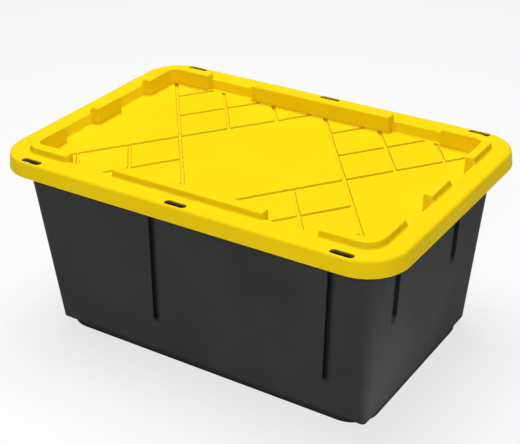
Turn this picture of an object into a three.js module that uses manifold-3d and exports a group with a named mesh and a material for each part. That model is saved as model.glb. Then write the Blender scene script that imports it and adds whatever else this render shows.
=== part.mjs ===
// Stackable storage bin: a tapered moulded tub and a lift-off moulded lid.
// Millimetres, +Z up. The origin is the centre of the footprint, on the floor.
// X runs along the long sides and -Y is the front.
//
// Every level of the bin has the same plan: the outline of the lid, drawn in by some
// distance. Both pieces are thin sheets, so each one is a form with the same form,
// drawn in by the sheet thickness, cut out of it.
import * as THREE from "three";
import * as BufferGeometryUtils from "three/addons/utils/BufferGeometryUtils.js";
import Module from "manifold-3d";

const wasm = await Module();
wasm.setup();

// Driving dimensions
const LENGTH = 772;
const WIDTH = 517;
const HEIGHT = 367.5;
const CORNER_RADIUS = 74;
const SHEET = 2.6;
const FIT = 0.3;

// Lid
const RIDGE_RISE = 11.5;
const BORDER_TOP = HEIGHT - RIDGE_RISE;
const SKIRT_DROP = 29;
const SKIRT_BOTTOM = BORDER_TOP - SKIRT_DROP;
const PANEL_TOP = BORDER_TOP - 20;
const RIDGE_OUTER = { halfX: 346.7, halfY: 219.3, radius: 34 };
const PANEL_EDGE = { halfX: 329, halfY: 199, radius: 14 };
const PANEL_DRAFT = 1;
const POCKET_FOOT = { halfX: 338.5, halfY: 207, radius: 22 };
const POCKET_CHAMFER = 4;
const POCKET_MOUTH = { halfX: 347, halfY: 214, radius: 30 };
const LONG_SIDE_GAP = { from: 148, to: 247.5 };
const SHORT_SIDE_GAP = { from: 34, to: 123 };
const BAND_PITCH = 113.4;
const BAND_SLOPE = 1.3;
const BAND_WIDTH = 7;
const BAND_DEPTH = 4;

// Holes for cable ties or padlocks, through the lid and the rim of the tub
const TIE_SLOT_PITCH = 303;
const LID_SLOT = { length: 41, width: 13, edgeDistance: 14 };
const RIM_SLOT = { length: 33, width: 5.2, edgeDistance: 13.3 };

// Tub
const RIM_TOP = BORDER_TOP - SHEET - FIT;
const LIP_BOTTOM = SKIRT_BOTTOM - 1.5;
const LIP_CLEARANCE = 0.6;
const LIP_DRAFT = 0.1;
const FLOOR_INSET = 66.5;
const WALL_DRAFT = 0.1047;
const BASE_STEP = 10;
const BASE_RADIUS = 50;
const FLOOR_THICKNESS = 3;

// Flutes pressed into the walls. Each is deepest along one steep edge and ramps back up to
// the wall on the side of that edge given by its ramp. Heights are of the lower end and of
// the middle, where the steep edge is at the offset, and it leans along the wall as it rises.
const FLUTE_DEPTH = 7;
const FLUTE_FLOOR = 3;
const FLUTE_TOP = 330;
const LONG_SIDE_FLUTES = {
  width: 16,
  ramp: 1,
  slant: 0.1,
  bottom: 76,
  middle: 190,
  offsets: [-87, 255],
};
const SHORT_SIDE_FLUTES = {
  width: 24,
  ramp: -1,
  slant: -0.11,
  bottom: 185,
  middle: 235,
  offsets: [-131.5, 84.5],
};

const ARC_STEPS = 7;
const FLUTE_END_STEPS = 8;
const OVERSHOOT = 20;

// Anticlockwise outline of a rectangle with round corners.
function roundedRectangle({ halfX, halfY, radius }) {
  const points = [];
  for (let corner = 0; corner < 4; corner += 1) {
    const centreX = (corner === 0 || corner === 3 ? 1 : -1) * (halfX - radius);
    const centreY = (corner < 2 ? 1 : -1) * (halfY - radius);
    for (let step = 0; step <= ARC_STEPS; step += 1) {
      const angle = ((corner + step / ARC_STEPS) * Math.PI) / 2;
      points.push([centreX + radius * Math.cos(angle), centreY + radius * Math.sin(angle)]);
    }
  }
  return points;
}

// The same rectangle with every side moved outwards by a distance.
function grown({ halfX, halfY, radius }, distance) {
  return { halfX: halfX + distance, halfY: halfY + distance, radius: radius + distance };
}

// Outline of the bin, drawn in from the outermost edge of the lid.
function binOutline(inset) {
  const edge = { halfX: LENGTH / 2, halfY: WIDTH / 2, radius: CORNER_RADIUS };
  return roundedRectangle(grown(edge, -inset));
}

// Closed solid through convex outlines of equal point count, lowest first.
function loft(levels) {
  const count = levels[0].outline.length;
  const positions = [];
  const triangles = [];
  for (const { z, outline } of levels) {
    for (const [x, y] of outline) {
      positions.push(x, y, z);
    }
  }
  for (let level = 0; level + 1 < levels.length; level += 1) {
    for (let i = 0; i < count; i += 1) {
      const here = level * count + i;
      const next = level * count + ((i + 1) % count);
      triangles.push(here, next, next + count, here, next + count, here + count);
    }
  }
  const top = (levels.length - 1) * count;
  for (let i = 1; i + 1 < count; i += 1) {
    triangles.push(0, i + 1, i, top, top + i, top + i + 1);
  }
  const geometry = new THREE.BufferGeometry();
  geometry.setAttribute("position", new THREE.Float32BufferAttribute(positions, 3));
  geometry.setIndex(triangles);
  return closedSolid(geometry);
}

// Straight upright block with a given outline.
function prism(outline, bottom, top) {
  return loft([
    { z: bottom, outline },
    { z: top, outline },
  ]);
}

// Box given by its two opposite corners.
function block([x0, y0, z0], [x1, y1, z1]) {
  const geometry = new THREE.BoxGeometry(x1 - x0, y1 - y0, z1 - z0);
  geometry.translate((x0 + x1) / 2, (y0 + y1) / 2, (z0 + z1) / 2);
  return closedSolid(geometry);
}

function closedSolid(geometry) {
  geometry.deleteAttribute("normal");
  geometry.deleteAttribute("uv");
  const merged = BufferGeometryUtils.mergeVertices(geometry, 1e-4);
  return new wasm.Manifold(
    new wasm.Mesh({
      numProp: 3,
      vertProperties: new Float32Array(merged.attributes.position.array),
      triVerts: new Uint32Array(merged.index.array),
    }),
  );
}

function join(solids) {
  return solids.reduce((total, solid) => total.add(solid));
}

// The solid together with its copy turned half a turn about the vertical axis.
function withHalfTurnCopy(solid) {
  return solid.add(solid.rotate([0, 0, 180]));
}

// ---------------------------------------------------------------- lid

// Skirt and border as one block: a slightly tapered skirt and a rounded shoulder.
function lidBlock(inset) {
  const bottom = inset > 0 ? SKIRT_BOTTOM - OVERSHOOT : SKIRT_BOTTOM;
  const profile = [
    [0, bottom],
    [0, SKIRT_BOTTOM + 2],
    [2.6, BORDER_TOP - 6],
    [3.5, BORDER_TOP - 2.8],
    [5.4, BORDER_TOP - 0.9],
    [8.2, BORDER_TOP],
  ];
  return loft(
    profile.map(([drawnIn, z], i) => ({
      z: z - (i > 1 ? inset : 0),
      outline: binOutline(drawnIn + inset),
    })),
  );
}

// Block whose rounded top edge is the outer edge of the ridges.
function ridgeBlock(inset) {
  const edge = grown(RIDGE_OUTER, -inset);
  const top = HEIGHT - inset;
  return loft([
    { z: PANEL_TOP - inset, outline: roundedRectangle(edge) },
    { z: BORDER_TOP, outline: roundedRectangle(edge) },
    { z: top - 1.4, outline: roundedRectangle(grown(edge, -0.9)) },
    { z: top, outline: roundedRectangle(grown(edge, -2.2)) },
  ]);
}

// The space inside the ridges, down to the panel.
function panelSpace(inset) {
  const foot = grown(PANEL_EDGE, inset);
  const top = HEIGHT - inset;
  return loft([
    { z: PANEL_TOP - inset, outline: roundedRectangle(foot) },
    { z: top - 1.2, outline: roundedRectangle(grown(foot, PANEL_DRAFT)) },
    { z: top + 0.1, outline: roundedRectangle(grown(foot, PANEL_DRAFT + 1.2)) },
    { z: HEIGHT + OVERSHOOT, outline: roundedRectangle(grown(foot, PANEL_DRAFT + 1.2)) },
  ]);
}

// In the gaps between the ridges the recess is wider and ends at the border.
function pocketSpace(inset) {
  const foot = grown(POCKET_FOOT, inset);
  const mouth = grown(POCKET_MOUTH, inset);
  const border = BORDER_TOP - inset;
  const recess = loft([
    { z: PANEL_TOP - inset, outline: roundedRectangle(foot) },
    {
      z: PANEL_TOP - inset + POCKET_CHAMFER,
      outline: roundedRectangle(grown(foot, POCKET_CHAMFER)),
    },
    { z: border, outline: roundedRectangle(mouth) },
  ]);
  const above = roundedRectangle(grown(mouth, 2 * OVERSHOOT));
  return recess.add(prism(above, border, HEIGHT + OVERSHOOT));
}

// Upright blocks that mark out the gaps between the ridges.
function gapBlocks(inset) {
  const bottom = PANEL_TOP - inset - OVERSHOOT;
  const top = HEIGHT + 2 * OVERSHOOT;
  const longSide = {
    from: LONG_SIDE_GAP.from - inset,
    to: LONG_SIDE_GAP.to + inset,
  };
  const shortSide = {
    from: SHORT_SIDE_GAP.from - inset,
    to: SHORT_SIDE_GAP.to + inset,
  };
  const blocks = [];
  for (const side of [-1, 1]) {
    const [left, right] = [side * longSide.from, side * longSide.to].sort((a, b) => a - b);
    blocks.push(block([left, 150, bottom], [right, WIDTH / 2 - 20, top]));
    const [near, far] = [side * shortSide.from, side * shortSide.to].sort((a, b) => a - b);
    blocks.push(block([300, near, bottom], [LENGTH / 2 - 20, far, top]));
  }
  return withHalfTurnCopy(join(blocks));
}

// Crossing of one band of each family; both are counted from the middle of the panel.
function crossing(falling, rising) {
  return new THREE.Vector2(
    ((falling + rising) / 2) * BAND_PITCH,
    (((falling - rising) / 2) * BAND_PITCH) * BAND_SLOPE,
  );
}

// One straight sunk band between two points of the panel.
function band(start, end, inset) {
  const along = end.clone().sub(start);
  const geometry = new THREE.BoxGeometry(
    along.length() + 2 * inset,
    BAND_WIDTH + 2 * inset,
    BAND_DEPTH + 1,
  );
  geometry.rotateZ(Math.atan2(along.y, along.x));
  geometry.translate(
    (start.x + end.x) / 2,
    (start.y + end.y) / 2,
    PANEL_TOP - inset + 1 - (BAND_DEPTH + 1) / 2,
  );
  return closedSolid(geometry);
}

// A big cross in each half of the panel, with two more bands beside each arm above and below.
function bands(inset) {
  const reach = 3;
  const pieces = [];
  for (const centre of [-1.5, 1.5]) {
    pieces.push(band(crossing(centre, centre - reach), crossing(centre, centre + reach), inset));
    pieces.push(band(crossing(centre - reach, centre), crossing(centre + reach, centre), inset));
    for (const side of [-1, 1]) {
      for (const count of [1, 2]) {
        const line = centre + side * count;
        const edge = line - side * reach;
        pieces.push(band(crossing(line, centre), crossing(line, edge), inset));
        pieces.push(band(crossing(centre, line), crossing(edge, line), inset));
      }
    }
  }
  const foot = roundedRectangle(grown(PANEL_EDGE, inset));
  return join(pieces).intersect(prism(foot, PANEL_TOP - OVERSHOOT, PANEL_TOP + OVERSHOOT));
}

// The solid under the upper face of the lid, drawn in by a distance.
function lidForm(inset) {
  const gaps = gapBlocks(inset).intersect(pocketSpace(inset));
  return lidBlock(inset)
    .add(ridgeBlock(inset))
    .subtract(panelSpace(inset))
    .subtract(gaps)
    .subtract(bands(inset));
}

// Three upright holes near each long edge.
function tieSlots({ length, width, edgeDistance }, bottom, top) {
  const shape = roundedRectangle({ halfX: length / 2, halfY: width / 2, radius: width / 2 });
  const y = WIDTH / 2 - edgeDistance;
  const row = [-1, 0, 1].map((place) =>
    prism(shape, bottom, top).translate([place * TIE_SLOT_PITCH, y, 0]),
  );
  return withHalfTurnCopy(join(row));
}

function makeLid() {
  return lidForm(0).subtract(lidForm(SHEET)).subtract(tieSlots(LID_SLOT, SKIRT_BOTTOM, HEIGHT));
}

// ---------------------------------------------------------------- tub

function wallInset(z) {
  return FLOOR_INSET - WALL_DRAFT * (z - BASE_STEP);
}

// One flute as a long upright form across the face of a wall, round at its lower end.
function fluteForm({ width, ramp, slant, bottom, middle }, offset, wallHalf, inset) {
  const stretch = Math.hypot(1, WALL_DRAFT, slant);
  const lower = (bottom - middle) * stretch + width / 2;
  const upper = (FLUTE_TOP - middle) * stretch + inset;
  const outline = (near, far) => {
    const half = (far - near) / 2;
    const points = [
      [far, upper],
      [near, upper],
    ];
    for (let step = 0; step <= FLUTE_END_STEPS; step += 1) {
      const angle = Math.PI * (1 + step / FLUTE_END_STEPS);
      points.push([near + half + half * Math.cos(angle), lower + half * Math.sin(angle)]);
    }
    return points;
  };
  const atWall = outline(-inset, width + inset);
  const form = loft([
    { z: -FLUTE_DEPTH - inset, outline: outline(1 - inset, FLUTE_FLOOR) },
    { z: 0, outline: atWall },
    { z: OVERSHOOT, outline: atWall },
  ]);
  const outward = new THREE.Vector3(0, -1, -WALL_DRAFT).normalize();
  const up = new THREE.Vector3(slant, -WALL_DRAFT, 1).normalize();
  const across = new THREE.Vector3().crossVectors(up, outward).normalize();
  const face = new THREE.Matrix4().makeBasis(across, up, outward);
  face.setPosition(offset, -(wallHalf - wallInset(middle)), middle);
  return form.scale([ramp, 1, 1]).transform(face.elements);
}

// All flutes: a pair on each long side and a pair on each short side.
function flutes(inset) {
  const longSide = LONG_SIDE_FLUTES.offsets.map((offset) =>
    fluteForm(LONG_SIDE_FLUTES, offset, WIDTH / 2, inset),
  );
  const shortSide = SHORT_SIDE_FLUTES.offsets.map((offset) =>
    fluteForm(SHORT_SIDE_FLUTES, offset, LENGTH / 2, inset).rotate([0, 0, 90]),
  );
  return withHalfTurnCopy(join([...longSide, ...shortSide]));
}

// The tapered body without its rim, drawn in by a distance.
function wallForm(inset) {
  const bottom = inset > 0 ? FLOOR_THICKNESS : 0;
  const top = RIM_TOP + (inset > 0 ? OVERSHOOT : 0);
  const step = BASE_STEP + (inset > 0 ? FLOOR_THICKNESS : 0);
  const base = {
    halfX: LENGTH / 2 - FLOOR_INSET - 1 - inset,
    halfY: WIDTH / 2 - FLOOR_INSET - 1 - inset,
    radius: BASE_RADIUS - inset,
  };
  const walls = loft([
    { z: step, outline: binOutline(wallInset(step) + inset) },
    { z: top, outline: binOutline(wallInset(top) + inset) },
  ]);
  const boss = loft([
    { z: bottom, outline: roundedRectangle(grown(base, -1)) },
    { z: bottom + 1.5, outline: roundedRectangle(base) },
    { z: step + 1, outline: roundedRectangle(base) },
  ]);
  return walls.add(boss).subtract(flutes(inset));
}

// Flange and turned-down lip as one block that fits inside the skirt of the lid.
function rimBlock(inset) {
  const bottom = inset > 0 ? LIP_BOTTOM - OVERSHOOT : LIP_BOTTOM;
  const shoulder = RIM_TOP - 5 - inset;
  const lipInset = (z) => SHEET + LIP_CLEARANCE + 1 + inset + LIP_DRAFT * (z - LIP_BOTTOM);
  return loft([
    { z: bottom, outline: binOutline(lipInset(bottom)) },
    { z: shoulder, outline: binOutline(lipInset(shoulder)) },
    { z: RIM_TOP - inset, outline: binOutline(lipInset(shoulder) + 5) },
  ]);
}

function makeTub() {
  const hollowRim = rimBlock(SHEET).subtract(wallForm(0));
  return wallForm(0)
    .add(rimBlock(0))
    .subtract(hollowRim)
    .subtract(wallForm(SHEET))
    .subtract(tieSlots(RIM_SLOT, RIM_TOP - 3 * SHEET, RIM_TOP + 1));
}

// ---------------------------------------------------------------- assembly

function part(name, solid, material) {
  const mesh = solid.getMesh();
  const geometry = new THREE.BufferGeometry();
  geometry.setAttribute("position", new THREE.Float32BufferAttribute(mesh.vertProperties, 3));
  geometry.setIndex(new THREE.Uint32BufferAttribute(mesh.triVerts, 1));
  geometry.computeVertexNormals();
  const object = new THREE.Mesh(geometry, new THREE.MeshStandardMaterial(material));
  object.name = name;
  return object;
}

const bin = new THREE.Group();
bin.name = "storage_bin";
bin.add(part("tub", makeTub(), { color: 0x262526, roughness: 0.55, metalness: 0 }));
bin.add(part("lid", makeLid(), { color: 0xf5d000, roughness: 0.5, metalness: 0 }));

export default bin;
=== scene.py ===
"""Stackable storage bin with a lift-off lid: two moulded shells, their plastics, the studio and the camera.

The two shells are built in millimetres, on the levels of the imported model, and shown in metres.
"""

import math
from typing import NamedTuple

import bmesh
import bpy
from mathutils import Matrix, Vector


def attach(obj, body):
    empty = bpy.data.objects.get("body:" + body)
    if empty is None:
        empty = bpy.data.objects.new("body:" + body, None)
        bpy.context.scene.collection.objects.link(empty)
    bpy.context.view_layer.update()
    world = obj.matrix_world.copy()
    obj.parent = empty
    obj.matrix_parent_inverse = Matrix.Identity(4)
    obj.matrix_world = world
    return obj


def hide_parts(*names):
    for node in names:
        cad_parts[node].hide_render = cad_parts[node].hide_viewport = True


MM = 0.001


class Outline(NamedTuple):
    """A rectangle with round corners, centred on the vertical axis."""

    half_x: float
    half_y: float
    radius: float

    def grown(self, distance):
        return Outline(self.half_x + distance, self.half_y + distance, self.radius + distance)

    def toward(self, other, share):
        return Outline(*(a + (b - a) * share for a, b in zip(self, other)))


# Driving dimensions in millimetres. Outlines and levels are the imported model's; edges are rounder here.
EDGE = Outline(386, 258.5, 74)
HEIGHT = 367.5
SHEET = 2.6
BORDER_TOP = 356
SKIRT_BOTTOM = 327
PANEL_TOP = 336
RIDGE = Outline(346.7, 219.3, 34)
PANEL = Outline(329, 199, 14)
POCKET = Outline(338.5, 207, 22)
POCKET_FILLET = 4
MOUTH = Outline(347, 214, 30)
LONG_SIDE_GAP = (148, 247.5)
SHORT_SIDE_GAP = (34, 123)
BAND_PITCH = 113.4
BAND_SLOPE = 1.3
BAND_WIDTH = 7
BAND_DEPTH = 4
TIE_SLOT_PITCH = 303
LID_SLOT = (41, 13, 14)
RIM_SLOT = (33, 5.2, 13.3)
RIM_TOP = BORDER_TOP - SHEET - 0.3
LIP_BOTTOM = SKIRT_BOTTOM - 1.5
WALL_INSET = 66.5
WALL_DRAFT = 0.1047
BASE_STEP = 10
BASE = Outline(318.5, 191, 50)
FLUTE_DEPTH = 7
FLUTE_TOP = 330
FLUTE_FLOOR = 3
LONG_SIDE_FLUTES = {"width": 16, "ramp": 1, "slant": 0.1, "bottom": 76, "middle": 190, "offsets": (-87, 255)}
SHORT_SIDE_FLUTES = {"width": 24, "ramp": -1, "slant": -0.11, "bottom": 185, "middle": 235,
                     "offsets": (-131.5, 84.5)}

# Roundings, clearances and how far faces lean, in millimetres
SKIRT_EDGE = 2
SKIRT_LEAN = 2.6
SHOULDER = 6
RIDGE_FOOT = 4
RIDGE_OUTER_EDGE = 2.2
RIDGE_OUTER_LEAN = 0.3
RIDGE_INNER_EDGE = 2.4
RIDGE_INNER_LEAN = 1
PANEL_FOOT = 1.5
PANEL_FOOT_LEAN = 0.1
MOUTH_ROUNDING = ((1.5, 0), (0.6, 0.2), (0, 0.7), (-0.4, 1.5))
BAND_EDGE = 0.6
BAND_FLARE = 0.5
BAND_FOOT = 0.5
BAND_TAPER = 1.2
BAND_HEADROOM = 1.5
SLOT_EDGE = 0.6
SLOT_HEADROOM = 5
FLOOR = 3
FLOOR_CORNER = 3
RIM_EDGE = 5
RIM_LEAN = 2.2
RIM_INNER_EDGE = 2.4
FLANGE_FILLET = 1.5
LIP_CLEARANCE = 1.6
LIP_EDGE = 0.5
CHANNEL_ROUNDING = ((7, 0), (2.5, 4))

CORNER_STEPS = 12
GAP_STEPS = 8
OVERSHOOT = 20
RIDGE_END_HALF = 3
RIDGE_END_STEPS = 12


# ---------------------------------------------------------------- mesh tools

def arc(centre, radius, start, end, steps):
    """Points (distance, height) on an arc, angles in degrees from the horizontal."""
    points = []
    for step in range(steps + 1):
        angle = math.radians(start + (end - start) * step / steps)
        points.append((centre[0] + radius * math.cos(angle), centre[1] + radius * math.sin(angle)))
    return points


def ring(outline, z, stations):
    """Points round an outline at one height, anticlockwise.

    The stations are extra places along two neighbouring sides, and the other two sides repeat them.
    """
    points = []
    for quarter in range(4):
        turn = Matrix.Rotation(quarter * math.pi / 2, 2)
        reach = (outline.half_x, outline.half_y)
        out, along = reach[quarter % 2], reach[(quarter + 1) % 2]
        for place in stations[quarter % 2]:
            points.append(turn @ Vector((out, place)))
        centre = Vector((out - outline.radius, along - outline.radius))
        for step in range(CORNER_STEPS + 1):
            angle = math.pi / 2 * step / CORNER_STEPS
            points.append(turn @ (centre + outline.radius * Vector((math.cos(angle), math.sin(angle)))))
    return [Vector((p.x, p.y, z)) for p in points]


def split_large_faces(mesh):
    """Outward faces, with triangles in place of every face that has more than four corners."""
    work = bmesh.new()
    work.from_mesh(mesh)
    bmesh.ops.recalc_face_normals(work, faces=work.faces)
    large = [face for face in work.faces if len(face.verts) > 4]
    bmesh.ops.triangulate(work, faces=large, ngon_method="EAR_CLIP")
    work.to_mesh(mesh)
    work.free()


def new_object(name, vertices, faces):
    mesh = bpy.data.meshes.new(name)
    mesh.from_pydata([v * MM for v in vertices], [], faces)
    split_large_faces(mesh)
    made = bpy.data.objects.new(name, mesh)
    bpy.context.scene.collection.objects.link(made)
    return made


def loft(name, rings):
    """A closed solid through rings of equal point count, lowest or outermost first."""
    count = len(rings[0])
    faces = []
    for level in range(len(rings) - 1):
        for i in range(count):
            here = level * count + i
            beside = level * count + (i + 1) % count
            faces.append((here, beside, beside + count, here + count))
    faces.append(tuple(reversed(range(count))))
    faces.append(tuple(range((len(rings) - 1) * count, len(rings) * count)))
    return new_object(name, [point for level in rings for point in level], faces)


def bake(target):
    """Makes what the modifiers give the object's own mesh."""
    graph = bpy.context.evaluated_depsgraph_get()
    mesh = bpy.data.meshes.new_from_object(target.evaluated_get(graph))
    target.modifiers.clear()
    target.data = mesh
    split_large_faces(mesh)


def combine(target, others, operation):
    for other in others:
        step = target.modifiers.new("solid", "BOOLEAN")
        step.solver = "MANIFOLD"
        step.operation = operation
        step.object = other
    bake(target)
    for other in others:
        bpy.data.objects.remove(other)
    return target


def half_turn_pairs(make):
    """What make builds, once as it is and once turned half a turn."""
    pieces = []
    for angle in (0, math.pi):
        for piece in make():
            piece.data.transform(Matrix.Rotation(angle, 4, "Z"))
            pieces.append(piece)
    return pieces


def finish_surface(piece):
    """Smooth faces with sharp folds, and large flat faces that stay flat."""
    piece.data.shade_smooth()
    piece.data.set_sharp_from_angle(angle=math.radians(40))
    weights = piece.modifiers.new("weights", "WEIGHTED_NORMAL")
    weights.keep_sharp = True


# ---------------------------------------------------------------- lid

def ridge_end():
    """Places across the end of a ridge, and how far its section has become that of the gap at each."""
    places = []
    for step in range(RIDGE_END_STEPS + 1):
        along = 2 * step / RIDGE_END_STEPS - 1
        share = 0.5 + math.copysign(0.5 - 0.5 * (1 - abs(along)) ** 3, along)
        places.append((along * RIDGE_END_HALF, share))
    return places


def end_stations(gap, inset):
    """Places along one side near the ends of its ridges, each with how open the section is there."""
    near, far = gap[0] - inset, gap[1] + inset
    half = [(near + offset, share) for offset, share in ridge_end()]
    half += [(far - offset, share) for offset, share in reversed(ridge_end())]
    return [(-place, share) for place, share in reversed(half)] + half


def blended_ring(closed, opened, inset):
    """A ring that follows one outline beside the ridges and the other one in the gaps."""
    stations = [end_stations(SHORT_SIDE_GAP, inset), end_stations(LONG_SIDE_GAP, inset)]
    places = [[place for place, _ in side] for side in stations]
    shares = []
    for quarter in range(4):
        shares += [share for _, share in stations[quarter % 2]]
        shares += [0.0] * (CORNER_STEPS + 1)
    pairs = zip(ring(*closed, places), ring(*opened, places), shares)
    return [a.lerp(b, share) for a, b, share in pairs]


def lid_block(inset):
    """The solid under the lid's upper face, drawn in by a distance, before the bands are sunk in it."""
    ridge = RIDGE.grown(-inset)
    panel = PANEL.grown(inset)
    pocket = POCKET.grown(inset)
    mouth = MOUTH.grown(inset)
    top, border, floor = HEIGHT - inset, BORDER_TOP - inset, PANEL_TOP - inset
    bottom = SKIRT_BOTTOM - (OVERSHOOT if inset else 0)
    skirt = [(SKIRT_EDGE + x, z) for x, z in arc((0, bottom + SKIRT_EDGE), SKIRT_EDGE, -90, -180, 4)]
    shoulder = arc((0, BORDER_TOP - SHOULDER), SHOULDER, 0, 90, 6)
    skirt += [(SKIRT_LEAN + SHOULDER - x, z - inset) for x, z in shoulder]
    shared = [(EDGE.grown(-x - inset), z) for x, z in skirt]
    ridge_foot = arc((RIDGE_FOOT, border + RIDGE_FOOT), RIDGE_FOOT, 270, 180, 3)
    outer_centre = (-RIDGE_OUTER_LEAN - RIDGE_OUTER_EDGE, top - RIDGE_OUTER_EDGE)
    inner_centre = (RIDGE_INNER_LEAN + RIDGE_INNER_EDGE, top - RIDGE_INNER_EDGE)
    outer_edge = arc(outer_centre, RIDGE_OUTER_EDGE, 0, 90, 4)
    inner_edge = arc(inner_centre, RIDGE_INNER_EDGE, 90, 180, 3)
    panel_foot = arc((PANEL_FOOT_LEAN - PANEL_FOOT, floor + PANEL_FOOT), PANEL_FOOT, 0, -90, 2)
    beside_ridge = [(ridge.grown(x), z) for x, z in ridge_foot + outer_edge]
    beside_ridge += [(panel.grown(x), z) for x, z in inner_edge + panel_foot]
    border_edge, mouth_edge = ridge.grown(RIDGE_FOOT), mouth.grown(MOUTH_ROUNDING[0][0])
    in_gap = [(border_edge.toward(mouth_edge, step / GAP_STEPS), border) for step in range(GAP_STEPS)]
    in_gap += [(mouth.grown(out), border - down) for out, down in MOUTH_ROUNDING]
    foot = arc((0, floor + POCKET_FILLET), POCKET_FILLET, -10, -90, 3)
    in_gap += [(pocket.grown(x), z) for x, z in foot]
    rings = [blended_ring(level, level, inset) for level in shared]
    rings += [blended_ring(a, b, inset) for a, b in zip(beside_ridge, in_gap, strict=True)]
    return loft("lid_shell", rings)


def crossing(falling, rising):
    """Crossing of one band of each family; both are counted from the middle of the panel."""
    return Vector(((falling + rising) / 2, (falling - rising) / 2 * BAND_SLOPE)) * BAND_PITCH


def band(start, end, inset):
    """The space of one straight band, with round edges at the panel and at its floor."""
    along = (end - start).normalized()
    across = Vector((-along.y, along.x))
    half = BAND_WIDTH / 2 + inset
    level = PANEL_TOP - inset
    low = level - BAND_DEPTH
    side = [(half + BAND_FLARE, level + BAND_HEADROOM)]
    side += arc((half + BAND_FLARE, level - BAND_EDGE), BAND_EDGE, 90, 160, 3)
    side += arc((half - BAND_TAPER, low + BAND_FOOT), BAND_FOOT, -20, -90, 3)
    section = side + [(-x, z) for x, z in reversed(side)]
    rings = []
    for point in (start - along * inset, end + along * inset):
        rings.append([Vector((*(point + across * x), z)) for x, z in section])
    return loft("band", rings)


def bands(inset):
    """A big cross in each half of the panel, with two more bands beside each arm above and below."""
    reach = 3
    pieces = []
    for centre in (-1.5, 1.5):
        pieces.append(band(crossing(centre, centre - reach), crossing(centre, centre + reach), inset))
        pieces.append(band(crossing(centre - reach, centre), crossing(centre + reach, centre), inset))
        for side in (-1, 1):
            for count in (1, 2):
                line = centre + side * count
                edge = line - side * reach
                pieces.append(band(crossing(line, centre), crossing(line, edge), inset))
                pieces.append(band(crossing(centre, line), crossing(edge, line), inset))
    return pieces


def clipped_bands(inset):
    """The bands, ended in the foot of the ridges and at the walls of the gaps."""
    closed, opened = PANEL.grown(inset + 2), POCKET.grown(inset - 0.5)
    pieces = []
    for piece in bands(inset):
        levels = [blended_ring((closed, z), (opened, z), inset)
                  for z in (PANEL_TOP - OVERSHOOT, PANEL_TOP + OVERSHOOT)]
        pieces.append(combine(piece, [loft("reach", levels)], "INTERSECT"))
    return pieces


def tie_slots(slot, bottom, top):
    """The spaces of three upright holes near each long side."""
    length, width, edge_distance = slot
    shape = Outline(length / 2, width / 2, width / 2 - 0.01)
    shift = EDGE.half_y - edge_distance

    def row():
        pieces = []
        for place in (-1, 0, 1):
            levels = [(0, bottom), (0, top - SLOT_EDGE), (SLOT_EDGE, top), (SLOT_EDGE, top + SLOT_HEADROOM)]
            piece = loft("slot", [ring(shape.grown(x), z, ([0], [0])) for x, z in levels])
            piece.data.transform(Matrix.Translation(Vector((place * TIE_SLOT_PITCH, shift, 0)) * MM))
            pieces.append(piece)
        return pieces

    return half_turn_pairs(row)


def make_lid():
    hollow = combine(lid_block(SHEET), clipped_bands(SHEET), "DIFFERENCE")
    lid = combine(lid_block(0), clipped_bands(0), "DIFFERENCE")
    return combine(lid, [hollow] + tie_slots(LID_SLOT, SKIRT_BOTTOM, BORDER_TOP), "DIFFERENCE")


# ---------------------------------------------------------------- tub

def wall_inset(z):
    return WALL_INSET - WALL_DRAFT * (z - BASE_STEP)


def flute(shape, offset, wall_half, inset):
    """The space of one flute: steep along one edge, ramped up beside it, and round at its lower end."""
    stretch = math.hypot(1, WALL_DRAFT, shape["slant"])
    lower = (shape["bottom"] - shape["middle"]) * stretch + shape["width"] / 2
    upper = (FLUTE_TOP - shape["middle"]) * stretch + inset
    depth = FLUTE_DEPTH + inset
    steep, ramp_end = -inset, shape["width"] + inset
    # Near edge, far edge and height of each level from the floor out; the small steps round the edges
    levels = [(steep + 1.2, steep + FLUTE_FLOOR, -depth)]
    levels.append((steep + 0.5, steep + FLUTE_FLOOR + 1.6, 0.8 - depth))
    levels += [(steep + 0.1, ramp_end - 1.6, -0.6), (steep - 0.4, ramp_end + 1, 0)]
    levels.append((steep - 0.4, ramp_end + 1, OVERSHOOT))
    rings = []
    for near, far, height in levels:
        half = (far - near) / 2
        points = [(far, upper), (near, upper)]
        points += [(near + half + x, y) for x, y in arc((0, lower), half, 180, 360, 12)]
        rings.append([Vector((x * shape["ramp"], y, height)) for x, y in points])
    made = loft("flute", rings)
    outward = Vector((0, -1, -WALL_DRAFT)).normalized()
    up = Vector((shape["slant"], -WALL_DRAFT, 1)).normalized()
    across = up.cross(outward).normalized()
    place = Vector((offset, -(wall_half - wall_inset(shape["middle"])), shape["middle"])) * MM
    made.data.transform(Matrix.Translation(place) @ Matrix((across, up, outward)).transposed().to_4x4())
    return made


def flutes(inset):
    """The spaces of all flutes: a pair on each side."""

    def two_sides():
        pieces = [flute(LONG_SIDE_FLUTES, x, EDGE.half_y, inset) for x in LONG_SIDE_FLUTES["offsets"]]
        for y in SHORT_SIDE_FLUTES["offsets"]:
            piece = flute(SHORT_SIDE_FLUTES, y, EDGE.half_x, inset)
            piece.data.transform(Matrix.Rotation(math.pi / 2, 4, "Z"))
            pieces.append(piece)
        return pieces

    return half_turn_pairs(two_sides)


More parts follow.
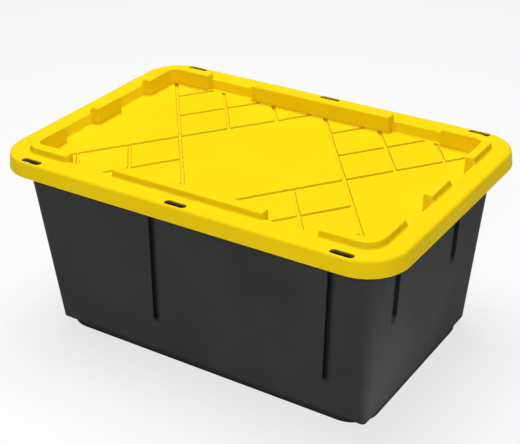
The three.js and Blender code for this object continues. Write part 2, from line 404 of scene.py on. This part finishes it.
def tub_outside():
    """The solid inside the tub's outer face, with the flange and its turned-down lip."""
    levels = [(BASE.grown(-2.5), 0), (BASE.grown(-0.8), 0.5), (BASE, 2.2), (BASE, BASE_STEP - 0.8),
              (BASE.grown(0.3), BASE_STEP)]
    under = RIM_TOP - SHEET
    wall = [BASE_STEP, BASE_STEP + 0.3, BASE_STEP + 1.5, under - FLANGE_FILLET]
    levels += [(EDGE.grown(-wall_inset(z) - in_by), z) for z, in_by in zip(wall, (1, 0.3, 0, 0))]
    levels.append((EDGE.grown(-wall_inset(under) + FLANGE_FILLET), under))
    lip = SHEET + LIP_CLEARANCE
    levels += [(EDGE.grown(-lip - SHEET - in_by), under - down) for in_by, down in CHANNEL_ROUNDING]
    levels.append((EDGE.grown(-lip - SHEET), LIP_BOTTOM + LIP_EDGE))
    levels.append((EDGE.grown(-lip - SHEET / 2), LIP_BOTTOM))
    levels.append((EDGE.grown(-lip), LIP_BOTTOM + LIP_EDGE))
    levels.append((EDGE.grown(-lip - RIM_LEAN), RIM_TOP - RIM_EDGE))
    rim_edge = arc((-lip - RIM_LEAN - RIM_EDGE, RIM_TOP - RIM_EDGE), RIM_EDGE, 0, 90, 4)
    levels += [(EDGE.grown(x), z) for x, z in rim_edge]
    return loft("tub_shell", [ring(outline, z, ([0], [0])) for outline, z in levels])


def tub_inside():
    """The space inside the tub, down to its floor."""
    foot = BASE.grown(-SHEET)
    step_top = BASE_STEP + FLOOR
    levels = [(foot.grown(-FLOOR_CORNER), FLOOR), (foot, FLOOR + FLOOR_CORNER), (foot, step_top)]
    levels += [(EDGE.grown(-wall_inset(z) - SHEET), z) for z in (step_top, RIM_TOP - RIM_INNER_EDGE)]
    edge = EDGE.grown(-wall_inset(RIM_TOP) - SHEET)
    rim_edge = arc((RIM_INNER_EDGE, RIM_TOP - RIM_INNER_EDGE), RIM_INNER_EDGE, 150, 90, 3)
    levels += [(edge.grown(x), z) for x, z in rim_edge]
    levels.append((levels[-1][0], RIM_TOP + OVERSHOOT))
    return loft("inside", [ring(outline, z, ([0], [0])) for outline, z in levels])


def make_tub():
    outside = combine(tub_outside(), flutes(0), "DIFFERENCE")
    inside = combine(tub_inside(), flutes(SHEET), "DIFFERENCE")
    return combine(outside, [inside] + tie_slots(RIM_SLOT, RIM_TOP - 3 * SHEET, RIM_TOP), "DIFFERENCE")


# ---------------------------------------------------------------- materials

def new_material(name):
    material = bpy.data.materials.new(name)
    material.use_nodes = True
    return material, material.node_tree.nodes, material.node_tree.links


def noise(nodes, links, coordinates, scale, detail):
    texture = nodes.new("ShaderNodeTexNoise")
    texture.inputs["Scale"].default_value = scale
    texture.inputs["Detail"].default_value = detail
    links.new(coordinates, texture.inputs["Vector"])
    return texture.outputs["Fac"]


def ramp(nodes, links, source, low, high):
    made = nodes.new("ShaderNodeValToRGB")
    made.color_ramp.elements[0].position, made.color_ramp.elements[0].color = low
    made.color_ramp.elements[1].position, made.color_ramp.elements[1].color = high
    links.new(source, made.inputs["Fac"])
    return made.outputs["Color"]


def mixed(nodes, links, share, first, second):
    """A colour from the nodes, turned into a fixed second colour by a share."""
    made = nodes.new("ShaderNodeMix")
    made.data_type = "RGBA"
    colours = [socket for socket in made.inputs if socket.type == "RGBA"]
    links.new(share, made.inputs["Factor"])
    links.new(first, colours[0])
    colours[1].default_value = second
    return next(socket for socket in made.outputs if socket.type == "RGBA")


def spread(nodes, links, source, before, after):
    """Maps one range of values to another, and holds them inside it."""
    made = nodes.new("ShaderNodeMapRange")
    for name, value in zip(("From Min", "From Max", "To Min", "To Max"), (*before, *after)):
        made.inputs[name].default_value = value
    links.new(source, made.inputs["Value"])
    return made.outputs["Result"]


def edge_wear(nodes, links, place):
    """How rubbed a spot is: patches along the folds of the surface, nothing away from them."""
    rounded = nodes.new("ShaderNodeBevel")
    rounded.inputs["Radius"].default_value = 0.0018
    compare = nodes.new("ShaderNodeVectorMath")
    compare.operation = "DOT_PRODUCT"
    links.new(rounded.outputs["Normal"], compare.inputs[0])
    links.new(nodes.new("ShaderNodeNewGeometry").outputs["Normal"], compare.inputs[1])
    fold = spread(nodes, links, compare.outputs["Value"], (0.995, 0.93), (0, 1))
    patches = spread(nodes, links, noise(nodes, links, place, 60, 8), (0.45, 0.62), (0, 1))
    both = nodes.new("ShaderNodeMath")
    both.operation = "MULTIPLY"
    links.new(fold, both.inputs[0])
    links.new(patches, both.inputs[1])
    return both.outputs["Value"]


def painted_shade_share(nodes, links, reach):
    """Painted shade: how far a spot deep in a groove or under an edge is darkened, by ambient occlusion;
    nothing on open walls.
    """
    made = nodes.new("ShaderNodeAmbientOcclusion")
    made.samples = 8
    made.inputs["Distance"].default_value = reach
    return spread(nodes, links, made.outputs["AO"], (0.85, 0.4), (0, 1))


def plastic(name, dark, light, worn, painted_shade, reach, rough, gloss, grain):
    """Moulded plastic: slow colour drift, uneven sheen, fine grain, rubbed edges, and shade painted into the
    grooves and under edges.
    """
    material, nodes, links = new_material(name)
    shader = nodes["Principled BSDF"]
    shader.inputs["IOR"].default_value = 1.49
    shader.inputs["Specular IOR Level"].default_value = gloss
    place = nodes.new("ShaderNodeTexCoord").outputs["Object"]
    wear = edge_wear(nodes, links, place)
    drift = ramp(nodes, links, noise(nodes, links, place, 7, 4), (0.35, dark), (0.7, light))
    rubbed = mixed(nodes, links, wear, drift, worn)
    # Shade painted into the colour: a darker colour where ambient occlusion finds grooves, recesses and
    # overhangs.
    links.new(mixed(nodes, links, painted_shade_share(nodes, links, reach), rubbed, painted_shade), shader.inputs["Base Color"])
    sheen = nodes.new("ShaderNodeMath")
    sheen.operation = "MULTIPLY_ADD"
    links.new(wear, sheen.inputs[0])
    sheen.inputs[1].default_value = 0.2
    links.new(spread(nodes, links, noise(nodes, links, place, 45, 6), (0, 1), rough), sheen.inputs[2])
    links.new(sheen.outputs["Value"], shader.inputs["Roughness"])
    scale, strength = grain
    bump = nodes.new("ShaderNodeBump")
    bump.inputs["Strength"].default_value = strength
    bump.inputs["Distance"].default_value = 0.0004
    links.new(noise(nodes, links, place, scale, 3), bump.inputs["Height"])
    links.new(bump.outputs["Normal"], shader.inputs["Normal"])
    return material


def yellow_plastic():
    # The darker ochre is shade painted into the bands, the gaps and the feet of the ridges.
    return plastic("yellow_plastic", dark=(0.88, 0.63, 0.005, 1), light=(0.92, 0.66, 0.006, 1),
                   worn=(0.93, 0.74, 0.1, 1), painted_shade=(0.72, 0.5, 0.006, 1), reach=0.01,
                   rough=(0.4, 0.55), gloss=0.02, grain=(900, 0.12))


def black_plastic():
    # The near-black is shade painted into the flutes, the slots, the bottom edge and the wall under the lid's
    # skirt.
    return plastic("black_plastic", dark=(0.038, 0.0372, 0.0366, 1), light=(0.046, 0.0452, 0.0445, 1),
                   worn=(0.065, 0.064, 0.063, 1), painted_shade=(0.004, 0.0039, 0.0038, 1), reach=0.025,
                   rough=(0.5, 0.65), gloss=0.02, grain=(700, 0.3))


# ---------------------------------------------------------------- studio

def make_floor():
    bpy.ops.mesh.primitive_plane_add(size=60)
    floor = bpy.context.object
    floor.name = "floor"
    material, nodes, _ = new_material("floor")
    shader = nodes["Principled BSDF"]
    shader.inputs["Base Color"].default_value = (0.25, 0.25, 0.25, 1)
    shader.inputs["Roughness"].default_value = 0.9
    shader.inputs["Emission Color"].default_value = (1, 1, 1, 1)
    shader.inputs["Emission Strength"].default_value = 0.71
    floor.data.materials.append(material)


def area_light(name, place, target, size, power):
    data = bpy.data.lights.new(name, "AREA")
    data.shape = "DISK"
    data.size = size
    data.energy = power
    light = bpy.data.objects.new(name, data)
    light.location = place
    light.rotation_euler = (Vector(target) - Vector(place)).to_track_quat("-Z", "Y").to_euler()
    light.visible_camera = False
    bpy.context.scene.collection.objects.link(light)
    return light


def shine_only_on(light, piece):
    """Keeps a light off everything but one piece."""
    lit = bpy.data.collections.new("lit by " + light.name)
    lit.objects.link(piece)
    light.light_linking.receiver_collection = lit


def make_studio(tub):
    """White surroundings, a large light overhead, one from the front, and a low one for the tub alone."""
    scene = bpy.context.scene
    scene.view_settings.view_transform = "Standard"
    world = bpy.data.worlds.new("studio")
    world.use_nodes = True
    world.node_tree.nodes["Background"].inputs["Color"].default_value = (1, 1, 1, 1)
    world.node_tree.nodes["Background"].inputs["Strength"].default_value = 0.18
    scene.world = world
    area_light("key", place=(-0.3, 0.3, 3.3), target=(0, 0, 0.3), size=2.4, power=94)
    area_light("front", place=(1.5, -2.9, 2.4), target=(0, 0, 0.3), size=0.3, power=36)
    corner = area_light("corner", place=(0.55, -0.17, 0.05), target=(0.34, -0.17, 0.07),
                        size=0.12, power=0.42)
    shine_only_on(corner, tub)
    make_floor()


def make_camera():
    azimuth, elevation, roll = (math.radians(a) for a in (33.43, 28.75, -1.27))
    data = bpy.data.cameras.new("camera")
    data.lens = 85.35
    data.sensor_width = 36
    camera = bpy.data.objects.new("camera", data)
    camera.location = (1.0636, -1.6130, 1.2678)
    turn = Matrix.Rotation(azimuth, 4, "Z") @ Matrix.Rotation(math.pi / 2 - elevation, 4, "X")
    camera.rotation_euler = (turn @ Matrix.Rotation(roll, 4, "Z")).to_euler()
    bpy.context.scene.collection.objects.link(camera)
    bpy.context.scene.camera = camera


# ---------------------------------------------------------------- scene

def add_piece(piece, node, material):
    finish_surface(piece)
    piece.data.materials.clear()
    piece.data.materials.append(material)
    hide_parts(node)
    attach(piece, node)


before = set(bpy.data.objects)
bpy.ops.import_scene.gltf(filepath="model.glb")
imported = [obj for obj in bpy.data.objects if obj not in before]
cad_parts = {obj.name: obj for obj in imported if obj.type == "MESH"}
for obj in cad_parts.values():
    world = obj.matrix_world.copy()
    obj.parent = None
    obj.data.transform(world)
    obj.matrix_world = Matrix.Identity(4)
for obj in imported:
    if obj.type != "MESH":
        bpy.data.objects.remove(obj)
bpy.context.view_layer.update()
tub = make_tub()
add_piece(tub, "tub", black_plastic())
add_piece(make_lid(), "lid", yellow_plastic())
make_studio(tub)
make_camera()
